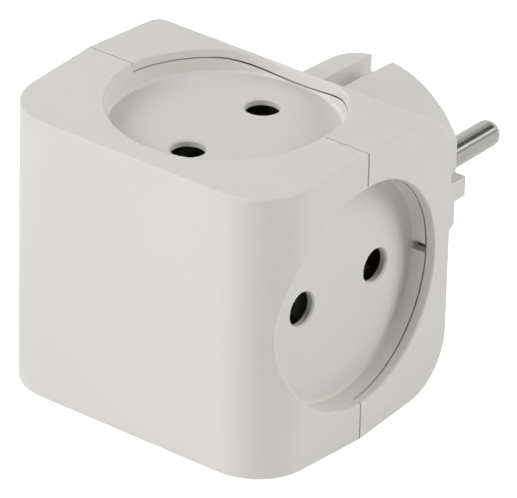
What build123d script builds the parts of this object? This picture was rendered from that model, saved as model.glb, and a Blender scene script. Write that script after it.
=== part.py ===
# Multi socket adapter: a cube that turns one wall socket into three.
# It plugs in at the back with two round pins. Sockets open on the top and on both sides.
# X runs along the plain front face, Y runs from the front face towards the pins, Z is up.
# The origin lies on the ground, at the middle of the whole length. Sizes are in millimetres.
from build123d import *
from math import hypot
import os

# Body: two half shells that meet in a plane parallel to the front face
body_width = 57.3
body_height = 51.9
front_depth = 24.2
rear_depth = 23.4
shell_wall = 1.6
front_wall = 2.0
rear_wall = 2.0
front_side_draft = 0.036
front_top_draft = 0.037
rear_side_draft = 0.035
rear_top_draft = 0.044
front_corner_radius = 9.9
rear_corner_radius = 9.8
edge_radius = 0.3
seam_groove_width = 0.35
seam_groove_depth = 0.5
lip_height = 1.8
lip_thickness = 1.0
lip_gap = 0.25

# Sockets: round recess with two holes, on the top and on both sides
seam_behind_sockets = 0.3
side_socket_lift = 0.25
pin_pitch = 19.0
recess_radius = 19.4
recess_depth = 5.0
recess_floor_fillet = 0.5
cup_wall = 1.5
cup_floor = 1.2
cup_gap = 0.25
arch_step = 0.1
mouth_radius = 0.35
cup_slot_width = 1.6
socket_hole_diameter = 5.8
hole_edge_bevel = 0.3

# Plug base: round barrel with a keyway above and below, and a ribbed flat on each side
base_length = 17.9
base_face_radius = 17.7
base_draft = 0.035
base_side_wall = 2.0
base_face_wall = 3.0
base_edge_radius = 0.4
keyway_width = 4.2
keyway_depth = 3.2
flat_distance = 15.9
rib_height = 3.6
rib_reach = 2.0

# Plug pins: solid turned pins, pressed in from inside and headed over on the contact bars
pin_diameter = 4.8
pin_length = 19.0
pin_root_diameter = 5.2
pin_tip_flat = 0.2
pin_hole_gap = 0.05
pin_collar_diameter = 7.0
pin_collar_thickness = 1.2
pin_sleeve_wall = 1.6
pin_sleeve_reach = 3.2
pin_shank_diameter = 4.0
spigot_diameter = 3.0
pin_head_diameter = 4.4
pin_head_height = 0.7

# Contacts: brass bars with a spring clip for each socket hole
clip_grip_diameter = 4.9
clip_thickness = 0.6
clip_back = 3.3
clip_foot_width = 4.4
clip_mouth_opening = 2.4
clip_below_floor = 2.3
clip_pin_gap = 0.55
bar_thickness = 0.8
bar_width = 6.4
bar_corner_radius = 1.0
link_width = 6.0
link_drop = 5.0
link_bend_radius = 0.4
rivet_shank_diameter = 2.0
rivet_head_diameter = 3.6
rivet_head_height = 0.7
post_diameter = 4.4
post_nib_diameter = 1.8
post_reach = 9.5
post_lift = 6.0

# Insulating partition between the rear bar and the link of the front bar
partition_thickness = 1.2
partition_gap = 0.1
partition_cup_gap = 1.5
partition_drop = 4.0
partition_corner = 2.0

# Case screws: driven from the plug face through deep wells into bosses of the front shell
screw_spacing = 17.0
screw_drop = 9.8
screw_diameter = 3.0
screw_point_diameter = 0.6
screw_length = 16.0
screw_head_diameter = 5.4
screw_head_height = 2.0
screw_well_diameter = 6.2
screw_well_wall = 1.6
screw_seat_thickness = 2.2
screw_seat_inset = 2.4
screw_slot_width = 0.9
screw_slot_length = 3.4
screw_slot_depth = 1.1
boss_diameter = 6.4
boss_gap = 0.1
screw_hole_gap = 0.05

# Places worked out from the sizes above
overall_length = front_depth + rear_depth + base_length + pin_length
front_y = -overall_length / 2
seam_y = front_y + front_depth
rear_y = seam_y + rear_depth
plug_face_y = rear_y + base_length
pin_tip_y = plug_face_y + pin_length
socket_y = seam_y - seam_behind_sockets
axis_z = body_height / 2
cup_reach = recess_depth + cup_floor
clip_start = cup_reach + clip_below_floor
clip_length = body_width / 2 - clip_start - pin_pitch / 2 - pin_head_diameter / 2 - clip_pin_gap
clip_middle = clip_start + clip_length / 2
front_clip_y = socket_y - pin_pitch / 2
rear_clip_y = socket_y + pin_pitch / 2
front_bar_y = front_clip_y - clip_back
rear_bar_y = rear_clip_y + clip_back
sleeve_end_y = rear_y - rear_wall - pin_sleeve_reach
collar_y = sleeve_end_y - pin_collar_thickness
link_tab_y = collar_y - bar_thickness
screw_seat_y = rear_y - screw_seat_inset
screw_bridge_y = screw_seat_y - screw_seat_thickness
link_x = pin_pitch / 2
lip_outer_inset = shell_wall + lip_gap
lip_inner_inset = lip_outer_inset + lip_thickness
base_root_radius = base_face_radius + base_draft * (base_length + rear_wall)
partition_half_width = body_width / 2 - cup_reach - partition_cup_gap
partition_rise = body_height / 2 - cup_reach - partition_cup_gap

# Cutters reach this far past the surface that they cut
cut_over = 2.0
# Edges are told apart by where they lie, to within this distance
same_place = 0.01


def across(y):
    """Plane across the object at y, looking at the front face: X to the right, Z up."""
    return Plane(origin=(0, y, axis_z), x_dir=(1, 0, 0), z_dir=(0, -1, 0))


# Each socket's plane lies on the nominal face, local x along Y and local z outwards
side_socket_z = axis_z + side_socket_lift
socket_planes = {
    "top": Plane(origin=(0, socket_y, axis_z + body_height / 2), x_dir=(0, 1, 0), z_dir=(0, 0, 1)),
    "right": Plane(origin=(body_width / 2, socket_y, side_socket_z), x_dir=(0, 1, 0), z_dir=(1, 0, 0)),
    "left": Plane(origin=(-body_width / 2, socket_y, side_socket_z), x_dir=(0, 1, 0), z_dir=(-1, 0, 0)),
}


def outline(end_y, half_size, draft, radius):
    """Face of one half seen along X or Z: it narrows from the seam to end_y, with round far corners."""
    half_end = half_size - draft * abs(end_y - seam_y)
    with BuildSketch(Plane.XY) as half:
        with BuildLine():
            Polyline(
                (half_size, seam_y), (half_end, end_y), (-half_end, end_y), (-half_size, seam_y), close=True
            )
        make_face()
        if radius > 0:
            far_corners = half.vertices().sort_by(lambda vertex: abs(vertex.Y - end_y))[:2]
            fillet(far_corners, radius=radius)
    return half.sketch


# Side view plane through the middle: local x is Z, local y is Y
side_plane = Plane(origin=(0, 0, axis_z), x_dir=(0, 0, 1), z_dir=(-1, 0, 0))


def half_form(plan_outline, side_outline):
    """Solid of one half: its plan outline crossed with its side outline."""
    with BuildPart() as form:
        with BuildSketch(Plane.XY.offset(axis_z)):
            add(plan_outline)
        extrude(amount=body_height, both=True)
        with BuildSketch(side_plane):
            add(side_outline)
        extrude(amount=body_width, both=True, mode=Mode.INTERSECT)
    return form.part


def front_form(inset, end_inset):
    """Front half, moved in by inset: its upright front edges are round."""
    end_y = front_y + end_inset
    return half_form(
        outline(end_y, body_width / 2 - inset, front_side_draft, front_corner_radius - inset),
        outline(end_y, body_height / 2 - inset, front_top_draft, 0),
    )


def rear_form(inset, end_inset):
    """Rear half, moved in by inset: its level rear edges are round."""
    end_y = rear_y - end_inset
    return half_form(
        outline(end_y, body_width / 2 - inset, rear_side_draft, 0),
        outline(end_y, body_height / 2 - inset, rear_top_draft, rear_corner_radius - inset),
    )


def softened(form, axis):
    """One half with the sharp edges between its unrounded flanks and the rest rounded off."""
    with BuildPart() as soft:
        add(form)
        flanks = soft.faces().sort_by(axis)
        rims = flanks[0].edges() + flanks[-1].edges()
        fillet(rims.filter_by(lambda edge: abs(edge.center().Y - seam_y) > edge_radius), radius=edge_radius)
    return soft.part


front_outside = softened(front_form(0, 0), Axis.Z)
rear_outside = softened(rear_form(0, 0), Axis.X)

# Room that the socket cups may fill: up to the outside in front of the seam,
# and up to just under the rear shell behind it
with BuildPart() as cup_room:
    add(front_outside)
    add(rear_form(shell_wall + cup_gap, rear_wall + cup_gap))


def cup_blank(plane):
    """Solid cup of one socket before its recess and holes are cut."""
    with BuildPart() as blank:
        with BuildSketch(plane.offset(-cup_reach)):
            Circle(recess_radius + cup_wall)
        extrude(amount=cup_reach)
        add(cup_room.part, mode=Mode.INTERSECT)
    return blank.part


def recess_cutter(plane, radius, depth, floor_fillet):
    """Round space of one socket, open outwards, with a rounded foot if asked."""
    with BuildPart() as cutter:
        with BuildSketch(plane.offset(-depth)):
            Circle(radius)
        extrude(amount=depth + cut_over)
        if floor_fillet > 0:
            floor = cutter.faces().sort_by(Axis(plane.origin, plane.z_dir))[0]
            fillet(floor.edges(), radius=floor_fillet)
    return cutter.part


def wall_edges(shell, plane, radius, lowest):
    """Edges on the round wall of one socket that lie higher than lowest, those at the seam left out."""
    def is_wanted(edge):
        points = [edge @ share for share in (0, 0.5, 1)]
        places = [plane.to_local_coords(point) for point in points]
        on_wall = all(abs(hypot(place.X, place.Y) - radius) < same_place for place in places)
        at_seam = all(abs(point.Y - seam_y) < seam_groove_width + same_place for point in points)
        return on_wall and not at_seam and all(place.Z > lowest for place in places)
    return shell.edges().filter_by(is_wanted)


cup_blanks = [cup_blank(plane) for plane in socket_planes.values()]
recess_cutters = [
    recess_cutter(plane, recess_radius, recess_depth, recess_floor_fillet) for plane in socket_planes.values()
]
arch_radius = recess_radius + arch_step
arch_cutters = [
    recess_cutter(plane, arch_radius, cup_reach, 0) for plane in socket_planes.values()
]


def seam_ring(outer_inset):
    """Ring in the seam, from outer_inset within the body's outline to the lip's inner side."""
    with BuildSketch(Plane.XY) as ring:
        Rectangle(body_width - 2 * outer_inset, body_height - 2 * outer_inset)
        Rectangle(body_width - 2 * lip_inner_inset, body_height - 2 * lip_inner_inset, mode=Mode.SUBTRACT)
    return ring.sketch


lip_ring = seam_ring(lip_outer_inset)
lip_root_ring = seam_ring(shell_wall)

screw_places = [(-screw_spacing / 2, -screw_drop), (screw_spacing / 2, -screw_drop)]
post_places = [(-post_reach, 0), (post_reach, 0), (0, post_lift)]

# Front shell: front face, the walls round it, three socket cups, bosses and posts
with BuildPart() as front_shell:
    add(front_outside)
    add(front_form(shell_wall, front_wall), mode=Mode.SUBTRACT)
    with BuildSketch(across(seam_y)):
        add(lip_ring)
    extrude(amount=-lip_height)
    with BuildSketch(across(seam_y)):
        add(lip_root_ring)
    extrude(amount=lip_height)
    for blank in cup_blanks:
        add(blank)
    with BuildSketch(across(front_y + front_wall)):
        with Locations(*screw_places):
            Circle(boss_diameter / 2)
    extrude(amount=-(screw_bridge_y - boss_gap - front_y - front_wall))
    with BuildSketch(across(front_y + front_wall)):
        with Locations(*post_places):
            Circle(post_diameter / 2)
    extrude(amount=-(front_bar_y - bar_thickness - front_y - front_wall))
    with BuildSketch(across(front_bar_y - bar_thickness)):
        with Locations(*post_places):
            Circle(post_nib_diameter / 2)
    extrude(amount=-bar_thickness)
    for cutter in recess_cutters:
        add(cutter, mode=Mode.SUBTRACT)
    # Groove round the edge, which shows as the dark parting line
    with BuildSketch(across(seam_y)):
        Rectangle(2 * body_width, 2 * body_height)
        Rectangle(
            body_width - 2 * seam_groove_depth, body_height - 2 * seam_groove_depth, mode=Mode.SUBTRACT
        )
    extrude(amount=seam_groove_width, mode=Mode.SUBTRACT)
    for socket_name, plane in socket_planes.items():
        with BuildSketch(plane.offset(-recess_depth)):
            with GridLocations(pin_pitch, 0, 2, 1):
                Circle(socket_hole_diameter / 2)
        extrude(amount=-cup_floor, mode=Mode.SUBTRACT)
        hole_mouths = front_shell.edges().filter_by(GeomType.CIRCLE).filter_by(
            lambda edge: abs(edge.radius - socket_hole_diameter / 2) < same_place
            and abs(plane.to_local_coords(edge.center()).Z + recess_depth) < same_place
        )
        chamfer(hole_mouths, length=hole_edge_bevel)
        fillet(wall_edges(front_shell, plane, recess_radius, -shell_wall), radius=mouth_radius)
        if socket_name != "top":
            with BuildSketch(plane.offset(-recess_depth)):
                with Locations((recess_radius + cup_wall / 2, 0)):
                    Rectangle(2 * cup_wall, cup_slot_width)
            extrude(amount=recess_depth, mode=Mode.SUBTRACT)
    with BuildSketch(across(screw_bridge_y - boss_gap)):
        with Locations(*screw_places):
            Circle(screw_diameter / 2 + screw_hole_gap)
    extrude(amount=screw_length, mode=Mode.SUBTRACT)
front_shell.part.label = "front_shell"

# Rear shell: rear wall, three arches that close round the cups, and the hollow plug base
cavity_length = base_length + rear_wall - base_face_wall
with BuildPart() as rear_shell:
    add(rear_outside)
    for plane, cutter in zip(socket_planes.values(), arch_cutters):
        add(cutter, mode=Mode.SUBTRACT)
        lowest = mouth_radius - cup_reach
        fillet(wall_edges(rear_shell, plane, arch_radius, lowest), radius=mouth_radius)
    with BuildSketch(across(plug_face_y)):
        Circle(base_face_radius)
    with BuildSketch(across(rear_y - rear_wall)):
        Circle(base_root_radius)
    loft()
    for side in (-1, 1):
        with BuildSketch(across(plug_face_y)):
            with Locations((side * (flat_distance + base_root_radius), 0)):
                Rectangle(2 * base_root_radius, 2 * base_root_radius)
        extrude(amount=base_length, mode=Mode.SUBTRACT)
        with BuildSketch(across(plug_face_y)):
            with Locations((side * (flat_distance + rib_reach / 2), 0)):
                Rectangle(rib_reach, rib_height)
        extrude(amount=base_length)
        with BuildSketch(across(plug_face_y)):
            with Locations((0, side * base_face_radius)):
                Rectangle(keyway_width, 2 * keyway_depth)
        extrude(amount=base_length, mode=Mode.SUBTRACT)
    add(rear_form(shell_wall, rear_wall), mode=Mode.SUBTRACT)
    with BuildSketch(across(plug_face_y - base_face_wall)):
        Circle(base_face_radius - base_side_wall)
        Rectangle(
            2 * (flat_distance - base_side_wall),
            2 * (base_face_radius - keyway_depth - base_side_wall),
            mode=Mode.INTERSECT,
        )
    extrude(amount=cavity_length, mode=Mode.SUBTRACT)
    with BuildSketch(across(plug_face_y)):
        with GridLocations(pin_pitch, 0, 2, 1):
            Circle(pin_root_diameter / 2 + pin_sleeve_wall)
    extrude(amount=plug_face_y - sleeve_end_y)
    with BuildSketch(across(plug_face_y)):
        with Locations(*screw_places):
            Circle(screw_well_diameter / 2 + screw_well_wall)
    extrude(amount=plug_face_y - screw_bridge_y)
    with BuildSketch(across(plug_face_y)):
        with GridLocations(pin_pitch, 0, 2, 1):
            Circle(pin_root_diameter / 2 + pin_hole_gap)
        with Locations(*screw_places):
            Circle(screw_diameter / 2 + screw_hole_gap)
    extrude(amount=plug_face_y - front_y, mode=Mode.SUBTRACT)
    with BuildSketch(across(plug_face_y)):
        with Locations(*screw_places):
            Circle(screw_well_diameter / 2)
    extrude(amount=plug_face_y - screw_seat_y, mode=Mode.SUBTRACT)
    plug_face = rear_shell.faces().sort_by(Axis.Y)[-1]
    fillet(plug_face.outer_wire().edges(), radius=base_edge_radius)
rear_shell.part.label = "rear_shell"


def contact_clip(name, plane, side):
    """Spring clip under one socket hole: a split sleeve on a flat foot beside the bar."""
    axis_x = side * pin_pitch / 2
    grip_radius = clip_grip_diameter / 2
    foot_x = axis_x + side * (clip_back - clip_thickness / 2)
    mouth_x = axis_x - side * grip_radius
    with BuildPart() as clip:
        with BuildSketch(plane.offset(-clip_start)):
            with Locations((axis_x, 0)):
                Circle(grip_radius + clip_thickness)
            with Locations((foot_x, 0)):
                Rectangle(clip_thickness, clip_foot_width)
            with Locations((axis_x, 0)):
                Circle(grip_radius, mode=Mode.SUBTRACT)
            with Locations((mouth_x, 0)):
                Rectangle(2 * grip_radius, clip_mouth_opening, mode=Mode.SUBTRACT)
        extrude(amount=-clip_length)
        rivet_axis = plane.offset(-clip_middle).from_local_coords((axis_x, 0, 0))
        with BuildSketch(Plane(origin=rivet_axis, z_dir=(0, side, 0))):
            Circle(rivet_shank_diameter / 2)
        extrude(amount=clip_back, mode=Mode.SUBTRACT)
    clip.part.label = name
    return clip.part


def clip_rivet(name, plane, side):
    """Rivet that holds one clip: head behind the bar, shank flush inside the clip's foot."""
    bar_back = clip_back + bar_thickness
    origin = plane.offset(-clip_middle).from_local_coords((side * (pin_pitch / 2 + bar_back), 0, 0))
    with BuildPart() as rivet:
        with BuildSketch(Plane(origin=origin, z_dir=(0, side, 0))):
            Circle(rivet_head_diameter / 2)
        extrude(amount=rivet_head_height)
        head_top = rivet.faces().sort_by(Axis.Y)[-1 if side > 0 else 0]
        chamfer(head_top.edges(), length=rivet_head_height / 2)
        with BuildSketch(Plane(origin=origin, z_dir=(0, side, 0))):
            Circle(rivet_shank_diameter / 2)
        extrude(amount=-(bar_thickness + clip_thickness))
    rivet.part.label = name
    return rivet.part


contacts = []
for socket_name, socket_plane in socket_planes.items():
    for place, side in (("front", -1), ("rear", 1)):
        contacts.append(contact_clip("clip_" + socket_name + "_" + place, socket_plane, side))
        contacts.append(clip_rivet("rivet_" + socket_name + "_" + place, socket_plane, side))

side_tip = body_width / 2 - clip_start
top_tip = body_height / 2 - clip_start
rivet_places = [(0, body_height / 2 - clip_middle)]
for side in (-1, 1):
    rivet_places.append((side * (body_width / 2 - clip_middle), side_socket_lift))


def bar_outline():
    """Face of a contact bar: one arm up and one arm to each side, drawn round the middle."""
    with BuildSketch(Plane.XY) as bar:
        Rectangle(2 * side_tip, bar_width)
        with Locations((0, top_tip / 2)):
            Rectangle(bar_width, top_tip)
        fillet(bar.vertices(), radius=bar_corner_radius)
        with Locations(*rivet_places):
            Circle(rivet_shank_diameter / 2, mode=Mode.SUBTRACT)
    return bar.sketch


# Front contact bar: feeds the front hole of every socket and reaches back to the right pin
with BuildPart() as front_bar:
    with BuildSketch(across(front_bar_y)):
        add(bar_outline())
        with Locations(*post_places):
            Circle(post_nib_diameter / 2, mode=Mode.SUBTRACT)
    extrude(amount=bar_thickness)
    with BuildSketch(Plane(origin=(link_x, 0, axis_z), x_dir=(0, 1, 0), z_dir=(1, 0, 0))):
        with BuildLine():
            FilletPolyline(
                (front_bar_y - bar_thickness / 2, bar_corner_radius - bar_width / 2),
                (front_bar_y - bar_thickness / 2, -link_drop),
                (link_tab_y + bar_thickness / 2, -link_drop),
                (link_tab_y + bar_thickness / 2, bar_width / 2),
                radius=link_bend_radius + bar_thickness / 2,
            )
        trace(line_width=bar_thickness)
    extrude(amount=link_width / 2, both=True)
    with BuildSketch(across(collar_y)):
        with Locations((link_x, 0)):
            Circle(spigot_diameter / 2)
    extrude(amount=bar_thickness, mode=Mode.SUBTRACT)
front_bar.part.label = "front_contact_bar"

# Rear contact bar: feeds the rear hole of every socket and is headed onto the left pin
with BuildPart() as rear_bar:
    with BuildSketch(across(rear_bar_y)):
        add(bar_outline())
        with Locations((-pin_pitch / 2, 0)):
            Circle(spigot_diameter / 2, mode=Mode.SUBTRACT)
    extrude(amount=-bar_thickness)
rear_bar.part.label = "rear_contact_bar"

# Insulating partition: a flat sheet that keeps the rear bar clear of the front bar's link
partition_y = rear_bar_y + bar_thickness + rivet_head_height + partition_gap
with BuildPart() as partition:
    with BuildSketch(across(partition_y)):
        with Locations((0, (partition_rise - partition_drop) / 2)):
            RectangleRounded(2 * partition_half_width, partition_rise + partition_drop, partition_corner)
        with Locations((-pin_pitch / 2, 0)):
            Circle(pin_shank_diameter / 2 + partition_gap, mode=Mode.SUBTRACT)
    extrude(amount=-partition_thickness)
partition.part.label = "insulating_partition"


def plug_pin(name, x, seat_y):
    """Plug pin turned from one rod: round tip, collar, shank, and a headed end on its bar."""
    steps = [
        (pin_diameter / 2, plug_face_y, pin_tip_y),
        (pin_root_diameter / 2, sleeve_end_y, plug_face_y),
        (pin_collar_diameter / 2, collar_y, sleeve_end_y),
        (spigot_diameter / 2, seat_y - bar_thickness, seat_y),
        (pin_head_diameter / 2, seat_y - bar_thickness - pin_head_height, seat_y - bar_thickness),
    ]
    if seat_y < collar_y:
        steps.append((pin_shank_diameter / 2, seat_y, collar_y))
    with BuildPart() as pin:
        for radius, start_y, end_y in steps:
            with BuildSketch(across(end_y)):
                with Locations((x, 0)):
                    Circle(radius)
            extrude(amount=end_y - start_y)
        fillet(pin.faces().sort_by(Axis.Y)[-1].edges(), radius=(pin_diameter - pin_tip_flat) / 2)
        chamfer(pin.faces().sort_by(Axis.Y)[0].edges(), length=pin_head_height / 2)
    pin.part.label = name
    return pin.part


def case_screw(name, x):
    """Self-tapping case screw with a cross recess, its point inside the front shell's boss."""
    place = (x, -screw_drop)
    with BuildPart() as screw:
        with BuildSketch(across(screw_seat_y)):
            with Locations(place):
                Circle(screw_diameter / 2)
        extrude(amount=screw_length)
        point_bevel = (screw_diameter - screw_point_diameter) / 2
        chamfer(screw.faces().sort_by(Axis.Y)[0].edges(), length=point_bevel)
        with BuildSketch(across(screw_seat_y + screw_head_height)):
            with Locations(place):
                Circle(screw_head_diameter / 2)
        extrude(amount=screw_head_height)
        chamfer(screw.faces().sort_by(Axis.Y)[-1].edges(), length=screw_head_height / 2)
        with BuildSketch(across(screw_seat_y + screw_head_height)):
            with Locations(place):
                Rectangle(screw_slot_length, screw_slot_width)
                Rectangle(screw_slot_width, screw_slot_length)
        extrude(amount=screw_slot_depth, mode=Mode.SUBTRACT)
    screw.part.label = name
    return screw.part


pieces = [front_shell.part, rear_shell.part, front_bar.part, rear_bar.part, partition.part]
pieces = pieces + contacts
pieces.append(plug_pin("plug_pin_left", -pin_pitch / 2, rear_bar_y + bar_thickness))
pieces.append(plug_pin("plug_pin_right", pin_pitch / 2, collar_y))
pieces.append(case_screw("case_screw_left", -screw_spacing / 2))
pieces.append(case_screw("case_screw_right", screw_spacing / 2))

os.makedirs("parts", exist_ok=True)
for piece in pieces:
    export_step(piece, "parts/" + piece.label + ".step")
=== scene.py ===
# Multi socket adapter with three sockets and a round plug base: the finish of every piece, the
# studio light and the camera. All places are in metres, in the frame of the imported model: X along
# the plain front face, Y from that face towards the pins, Z up.
from math import cos, radians, sin

import bmesh
import bpy
from mathutils import Matrix, Vector


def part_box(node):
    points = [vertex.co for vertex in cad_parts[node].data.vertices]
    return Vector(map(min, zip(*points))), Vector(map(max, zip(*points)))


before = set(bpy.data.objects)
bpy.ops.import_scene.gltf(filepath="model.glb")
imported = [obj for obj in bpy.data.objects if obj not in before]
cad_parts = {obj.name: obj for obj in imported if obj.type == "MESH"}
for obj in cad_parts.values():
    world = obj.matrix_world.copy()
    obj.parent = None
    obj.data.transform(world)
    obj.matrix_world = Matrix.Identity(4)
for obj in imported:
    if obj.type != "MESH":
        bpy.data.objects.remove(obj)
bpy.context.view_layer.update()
scene = bpy.context.scene

# Camera: a long lens that looks down at the front right corner. It is set by the direction that
# it looks from, and by its distance and shift from the middle of the case's parting plane.
image_width_px = 517
focal_length_px = 5955.0
sensor_width_mm = 36.0
look_azimuth = radians(37.755)
look_elevation = radians(28.536)
look_roll = radians(1.420)
look_distance = 0.9600
shift_right = 0.00556
shift_up = -0.00098

case_low, case_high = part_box("front_shell")
axis_height = (case_low.z + case_high.z) / 2
parting_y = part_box("rear_shell")[0].y


def direction(azimuth, elevation):
    """Unit vector out from the object. Azimuth 0 is in front of the plain face, 90 to its right."""
    return Vector((
        sin(azimuth) * cos(elevation), -cos(azimuth) * cos(elevation), sin(elevation)))


backward = direction(look_azimuth, look_elevation)
level_right = Vector((cos(look_azimuth), sin(look_azimuth), 0))
upward = backward.cross(level_right)
camera_x = cos(look_roll) * level_right + sin(look_roll) * upward
camera_y = cos(look_roll) * upward - sin(look_roll) * level_right

camera_data = bpy.data.cameras.new("camera")
camera_data.sensor_width = sensor_width_mm
camera_data.lens = focal_length_px * sensor_width_mm / image_width_px
camera_data.clip_start = 0.1
camera_data.clip_end = 10
camera = bpy.data.objects.new("camera", camera_data)
scene.collection.objects.link(camera)
camera_turn = Matrix((camera_x, camera_y, backward)).transposed().to_4x4()
camera_place = Vector((0, parting_y, axis_height))
camera_place += shift_right * level_right + shift_up * upward + look_distance * backward
camera.matrix_world = Matrix.Translation(camera_place) @ camera_turn
scene.camera = camera


# Case: the front and the rear shell are moulded from one batch of pale warm grey ABS and screwed
# together. The tool is spark-eroded, so the skin is satin, with a grain felt more than seen.
# The grain is drawn at 0.4 mm, about twice as coarse as the real one, because it wouldn't show.
def linear(hex_colour):
    """sRGB hex colour as linear red, green, blue and alpha."""
    channels = [int(hex_colour[i:i + 2], 16) / 255 for i in (1, 3, 5)]
    return [c / 12.92 if c <= 0.04045 else ((c + 0.055) / 1.055) ** 2.4 for c in channels] + [1]


def new_material(name):
    """New material with an empty node tree."""
    material = bpy.data.materials.new(name)
    material.use_nodes = True
    material.node_tree.nodes.clear()
    return material


def add_node(material, kind, inputs=(), **settings):
    """Adds one node. Settings are its properties, inputs are pairs of socket and value or link."""
    node = material.node_tree.nodes.new(kind)
    for name, value in settings.items():
        setattr(node, name, value)
    for socket, value in inputs:
        if isinstance(value, bpy.types.NodeSocket):
            material.node_tree.links.new(value, node.inputs[socket])
        else:
            node.inputs[socket].default_value = value
    return node


def finish_node(node_name, material):
    """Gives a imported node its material."""
    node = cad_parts[node_name]
    node.data.materials.clear()
    node.data.materials.append(material)


def per_metre(millimetres):
    """Scale of a texture whose pattern repeats about every so many millimetres."""
    return 1000 / millimetres


plastic_ior = 1.53
noise_low = 0.3
noise_high = 0.7


def moulded_plastic(name, pale, deep, grain_mm, mottle_mm, smooth, rough, grain_depth):
    """Moulded or pressed material: faint clouding of the colour, uneven gloss and a fine grain."""
    material = new_material(name)
    place = add_node(material, "ShaderNodeTexCoord").outputs["Object"]
    clouds = add_node(material, "ShaderNodeTexNoise", [
        ("Vector", place), ("Scale", per_metre(mottle_mm)), ("Detail", 3.0), ("Roughness", 0.55)])
    colour = add_node(material, "ShaderNodeMix", [
        (0, clouds.outputs["Fac"]), (6, linear(deep)), (7, linear(pale))], data_type="RGBA")
    grain = add_node(material, "ShaderNodeTexNoise", [
        ("Vector", place), ("Scale", per_metre(grain_mm)), ("Detail", 2.0), ("Roughness", 0.6)])
    gloss = add_node(material, "ShaderNodeMapRange", [
        ("Value", grain.outputs["Fac"]), ("From Min", noise_low), ("From Max", noise_high),
        ("To Min", smooth), ("To Max", rough)])
    relief = add_node(material, "ShaderNodeBump", [
        ("Strength", 0.35), ("Distance", grain_depth), ("Height", grain.outputs["Fac"])])
    skin = add_node(material, "ShaderNodeBsdfPrincipled", [
        ("Base Color", colour.outputs[2]), ("Roughness", gloss.outputs["Result"]),
        ("IOR", plastic_ior), ("Normal", relief.outputs["Normal"])])
    add_node(material, "ShaderNodeOutputMaterial", [("Surface", skin.outputs["BSDF"])])
    return material


case_plastic = moulded_plastic(
    "satin_abs", pale="#DFDDDA", deep="#DBD9D5", grain_mm=0.4, mottle_mm=14,
    smooth=0.42, rough=0.54, grain_depth=0.00002)
for shell in ("front_shell", "rear_shell"):
    finish_node(shell, case_plastic)


# Plug pins: turned from brass rod, nickel plated and polished, and held by the sleeves of the rear
# shell. The lathe leaves fine rings round the rod that survive under the plate.
cloud_mm = 3
across_y = (0.02, 1, 0.02)
ring_dulling = 1.5


def turned_metal(name, bright, dull, roughness, ring_mm, ring_depth):
    """Turned and plated metal: rings across Y, slightly uneven gloss and faint clouding."""
    material = new_material(name)
    place = add_node(material, "ShaderNodeTexCoord").outputs["Object"]
    clouds = add_node(material, "ShaderNodeTexNoise", [
        ("Vector", place), ("Scale", per_metre(cloud_mm)), ("Detail", 3.0)])
    colour = add_node(material, "ShaderNodeMix", [
        (0, clouds.outputs["Fac"]), (6, linear(dull)), (7, linear(bright))], data_type="RGBA")
    along = add_node(material, "ShaderNodeMapping", [("Vector", place), ("Scale", across_y)])
    rings = add_node(material, "ShaderNodeTexNoise", [
        ("Vector", along.outputs["Vector"]), ("Scale", per_metre(ring_mm)), ("Detail", 2.0)])
    gloss = add_node(material, "ShaderNodeMapRange", [
        ("Value", rings.outputs["Fac"]), ("From Min", noise_low), ("From Max", noise_high),
        ("To Min", roughness), ("To Max", roughness * ring_dulling)])
    relief = add_node(material, "ShaderNodeBump", [
        ("Strength", 0.3), ("Distance", ring_depth), ("Height", rings.outputs["Fac"])])
    metal = add_node(material, "ShaderNodeBsdfPrincipled", [
        ("Base Color", colour.outputs[2]), ("Metallic", 1.0),
        ("Roughness", gloss.outputs["Result"]), ("Normal", relief.outputs["Normal"])])
    add_node(material, "ShaderNodeOutputMaterial", [("Surface", metal.outputs["BSDF"])])
    return material


nickel_plate = turned_metal(
    "nickel_plated_brass", bright="#B3B2AE", dull="#A9A8A4", roughness=0.15, ring_mm=0.3,
    ring_depth=0.000004)
for pin in ("plug_pin_left", "plug_pin_right"):
    finish_node(pin, nickel_plate)


# Contact bars: one for each pole, blanked and bent from rolled brass strip. They are bright where
# they are new, and a little brown where the air has got at the flats.
along_x = (0.05, 1, 1)
line_depth = 0.000006
tarnish_dulling = 1.7


def rolled_metal(name, bright, tarnished, roughness, blotch_mm, line_mm):
    """Rolled sheet metal: fine rolling lines along X and patches of light tarnish."""
    material = new_material(name)
    place = add_node(material, "ShaderNodeTexCoord").outputs["Object"]
    blotches = add_node(material, "ShaderNodeTexNoise", [
        ("Vector", place), ("Scale", per_metre(blotch_mm)), ("Detail", 5.0), ("Roughness", 0.6)])
    tarnish = add_node(material, "ShaderNodeMapRange", [
        ("Value", blotches.outputs["Fac"]), ("From Min", 0.4), ("From Max", 0.65)])
    colour = add_node(material, "ShaderNodeMix", [
        (0, tarnish.outputs["Result"]), (6, linear(bright)), (7, linear(tarnished))],
        data_type="RGBA")
    along = add_node(material, "ShaderNodeMapping", [("Vector", place), ("Scale", along_x)])
    lines = add_node(material, "ShaderNodeTexNoise", [
        ("Vector", along.outputs["Vector"]), ("Scale", per_metre(line_mm)), ("Detail", 2.0)])
    gloss = add_node(material, "ShaderNodeMapRange", [
        ("Value", tarnish.outputs["Result"]),
        ("To Min", roughness), ("To Max", roughness * tarnish_dulling)])
    relief = add_node(material, "ShaderNodeBump", [
        ("Strength", 0.25), ("Distance", line_depth), ("Height", lines.outputs["Fac"])])
    metal = add_node(material, "ShaderNodeBsdfPrincipled", [
        ("Base Color", colour.outputs[2]), ("Metallic", 1.0),
        ("Roughness", gloss.outputs["Result"]), ("Normal", relief.outputs["Normal"])])
    add_node(material, "ShaderNodeOutputMaterial", [("Surface", metal.outputs["BSDF"])])
    return material


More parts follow.
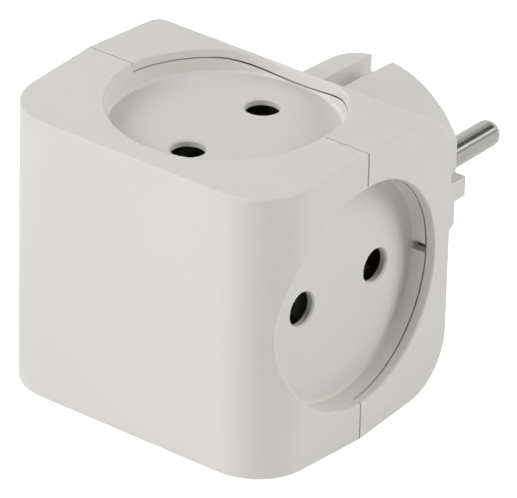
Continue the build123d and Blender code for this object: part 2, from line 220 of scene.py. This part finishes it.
bar_brass = rolled_metal(
    "rolled_brass", "#D9B878", "#B08A4E", roughness=0.24, blotch_mm=4, line_mm=0.2)
for bar in ("front_contact_bar", "rear_contact_bar"):
    finish_node(bar, bar_brass)

# Spring clips: split sleeves formed from phosphor bronze strip, one behind each hole of a socket.
# Their colour is darkened past bronze as painted shade, so only a dark sleeve shows through the
# holes.
clip_bronze_painted_shade = rolled_metal(
    "phosphor_bronze_painted_shade", "#54453A", "#3F342C", roughness=0.34, blotch_mm=3, line_mm=0.15)
hole_names = [
    socket + "_" + place for socket in ("top", "right", "left") for place in ("front", "rear")]
for hole in hole_names:
    finish_node("clip_" + hole, clip_bronze_painted_shade)

# Rivets: cold headed from brass wire, one through the foot of each clip and its bar. They stay
# dull from the header.
rivet_brass = rolled_metal(
    "headed_brass", "#D2B072", "#A88850", roughness=0.34, blotch_mm=2, line_mm=0.3)
for hole in hole_names:
    finish_node("rivet_" + hole, rivet_brass)

# Case screws: zinc plated and passivated steel with a faint blue cast. They are driven from the
# plug face, through the deep wells, into the bosses of the front shell.
screw_zinc = rolled_metal(
    "zinc_plated_steel", "#C3C7CC", "#A9AEB3", roughness=0.3, blotch_mm=1.5, line_mm=0.2)
for screw in ("case_screw_left", "case_screw_right"):
    finish_node(screw, screw_zinc)

# Insulating partition: punched from black vulcanised fibre board, dull and slightly fibrous. It
# stands between the rear bar and the link of the front bar.
fibre_board = moulded_plastic(
    "vulcanised_fibre", pale="#3A3632", deep="#2B2825", grain_mm=0.8, mottle_mm=5,
    smooth=0.6, rough=0.8, grain_depth=0.00004)
finish_node("insulating_partition", fibre_board)


# Floor: a wide sheet of white paper just under the case. The eye sees it as white with the shade
# of the object on it, and the polished parts mirror it as plain white.
white = linear("#FFFFFF")
floor_size = 6.0
floor_gap = 0.00005
paper_lift = 0.80


def white_paper(name, lift):
    """White sheet that the eye sees lifted towards white by this much, but still shaded."""
    material = new_material(name)
    rays = add_node(material, "ShaderNodeLightPath")
    sheet = add_node(material, "ShaderNodeBsdfDiffuse", [("Color", linear("#F2F2F0"))])
    glow = add_node(material, "ShaderNodeEmission", [("Color", white), ("Strength", lift)])
    lifted = add_node(material, "ShaderNodeAddShader", [
        (0, sheet.outputs[0]), (1, glow.outputs[0])])
    plain = add_node(material, "ShaderNodeEmission", [("Color", white), ("Strength", 1.0)])
    to_eye = add_node(material, "ShaderNodeMixShader", [
        ("Fac", rays.outputs["Is Camera Ray"]), (1, sheet.outputs[0]), (2, lifted.outputs[0])])
    to_mirror = add_node(material, "ShaderNodeMixShader", [
        ("Fac", rays.outputs["Is Glossy Ray"]), (1, to_eye.outputs[0]), (2, plain.outputs[0])])
    add_node(material, "ShaderNodeOutputMaterial", [("Surface", to_mirror.outputs[0])])
    return material


def flat_card(name, width, depth, place, turn, material):
    """Flat rectangular card, drawn flat and then turned and moved into place."""
    shape = bmesh.new()
    bmesh.ops.create_grid(shape, x_segments=1, y_segments=1, size=0.5)
    bmesh.ops.scale(shape, vec=(width, depth, 1), verts=shape.verts)
    bmesh.ops.transform(shape, matrix=Matrix.Translation(place) @ turn, verts=shape.verts)
    mesh = bpy.data.meshes.new(name)
    shape.to_mesh(mesh)
    shape.free()
    mesh.materials.append(material)
    card = bpy.data.objects.new(name, mesh)
    scene.collection.objects.link(card)
    return card


flat_card("floor", floor_size, floor_size, Vector((0, 0, case_low.z - floor_gap)),
          Matrix.Identity(4), white_paper("white_paper", paper_lift))


# Soft boxes: four white area lamps on one sphere round the object. Angles are in degrees, sizes in
# metres and powers in watts. The rim lamp only lights: the cards below stand for its mirror image.
object_middle = Vector((0, 0, axis_height))
lamp_distance = 1.2


def soft_box(name, azimuth, elevation, width, height, power):
    """White rectangular area lamp aimed at the object."""
    lamp = bpy.data.lights.new(name, "AREA")
    lamp.shape = "RECTANGLE"
    lamp.size = width
    lamp.size_y = height
    lamp.energy = power
    holder = bpy.data.objects.new(name, lamp)
    scene.collection.objects.link(holder)
    towards = direction(radians(azimuth), radians(elevation))
    holder.location = object_middle + lamp_distance * towards
    holder.rotation_euler = towards.to_track_quat("Z", "Y").to_euler()
    return holder


soft_box("key_front", azimuth=-10, elevation=25, width=0.9, height=0.9, power=8.60)
soft_box("fill_front_left", azimuth=-40, elevation=50, width=0.9, height=0.9, power=3.75)
soft_box("side_left", azimuth=-110, elevation=30, width=0.9, height=0.9, power=2.86)
rim = soft_box("rim_right_rear", azimuth=128, elevation=28, width=0.5, height=0.9, power=9.75)
rim.visible_glossy = False


# Reflector cards: a rod along Y mirrors to the camera only what lies on one ring round it, so each
# card on that ring draws one band along the polished pins. Angles run from +X towards +Z.
mirror_ring = (1 - backward.y ** 2) ** 0.5
card_distance = 0.8
card_length = 0.5


def mirror_card(name, angle, width, tone_hex, strength=1.0):
    """Evenly glowing card that only mirror rays see."""
    a = radians(angle)
    away = Vector((mirror_ring * cos(a), -backward.y, mirror_ring * sin(a)))
    across = Vector((-sin(a), 0, cos(a)))
    turn = Matrix((across, away.cross(across), away)).transposed().to_4x4()
    board = new_material(name + "_board")
    tone = add_node(board, "ShaderNodeEmission", [
        ("Color", linear(tone_hex)), ("Strength", strength)])
    add_node(board, "ShaderNodeOutputMaterial", [("Surface", tone.outputs[0])])
    card = flat_card(name, width, card_length, object_middle + card_distance * away, turn, board)
    card.visible_camera = False
    card.visible_diffuse = False
    card.visible_shadow = False


mirror_card("pale_card", angle=98, width=0.25, tone_hex="#D2D2D2")
mirror_card("dark_card", angle=69, width=0.32, tone_hex="#6C6C6C")
mirror_card("bright_strip", angle=43, width=0.14, tone_hex="#FFFFFF", strength=1.6)
mirror_card("grey_strip", angle=24, width=0.08, tone_hex="#8C8C8C")

# Room: a white studio all round. It gives a little even light, and it is plain white where the
# camera or a polished part looks.
room_level = 0.048
world = bpy.data.worlds.new("white_room")
world.use_nodes = True
world.node_tree.nodes.clear()
scene.world = world
rays = add_node(world, "ShaderNodeLightPath")
eye_or_mirror = add_node(world, "ShaderNodeMath", [
    (0, rays.outputs["Is Camera Ray"]), (1, rays.outputs["Is Glossy Ray"])], operation="MAXIMUM")
seen_white = add_node(world, "ShaderNodeMath", [
    (0, eye_or_mirror.outputs[0]), (1, rays.outputs["Is Transmission Ray"])], operation="MAXIMUM")
room_light = add_node(world, "ShaderNodeBackground", [("Color", white), ("Strength", room_level)])
white_light = add_node(world, "ShaderNodeBackground", [("Color", white), ("Strength", 1.0)])
room = add_node(world, "ShaderNodeMixShader", [
    ("Fac", seen_white.outputs[0]), (1, room_light.outputs[0]), (2, white_light.outputs[0])])
add_node(world, "ShaderNodeOutputWorld", [("Surface", room.outputs[0])])

scene.view_settings.view_transform = "Standard"
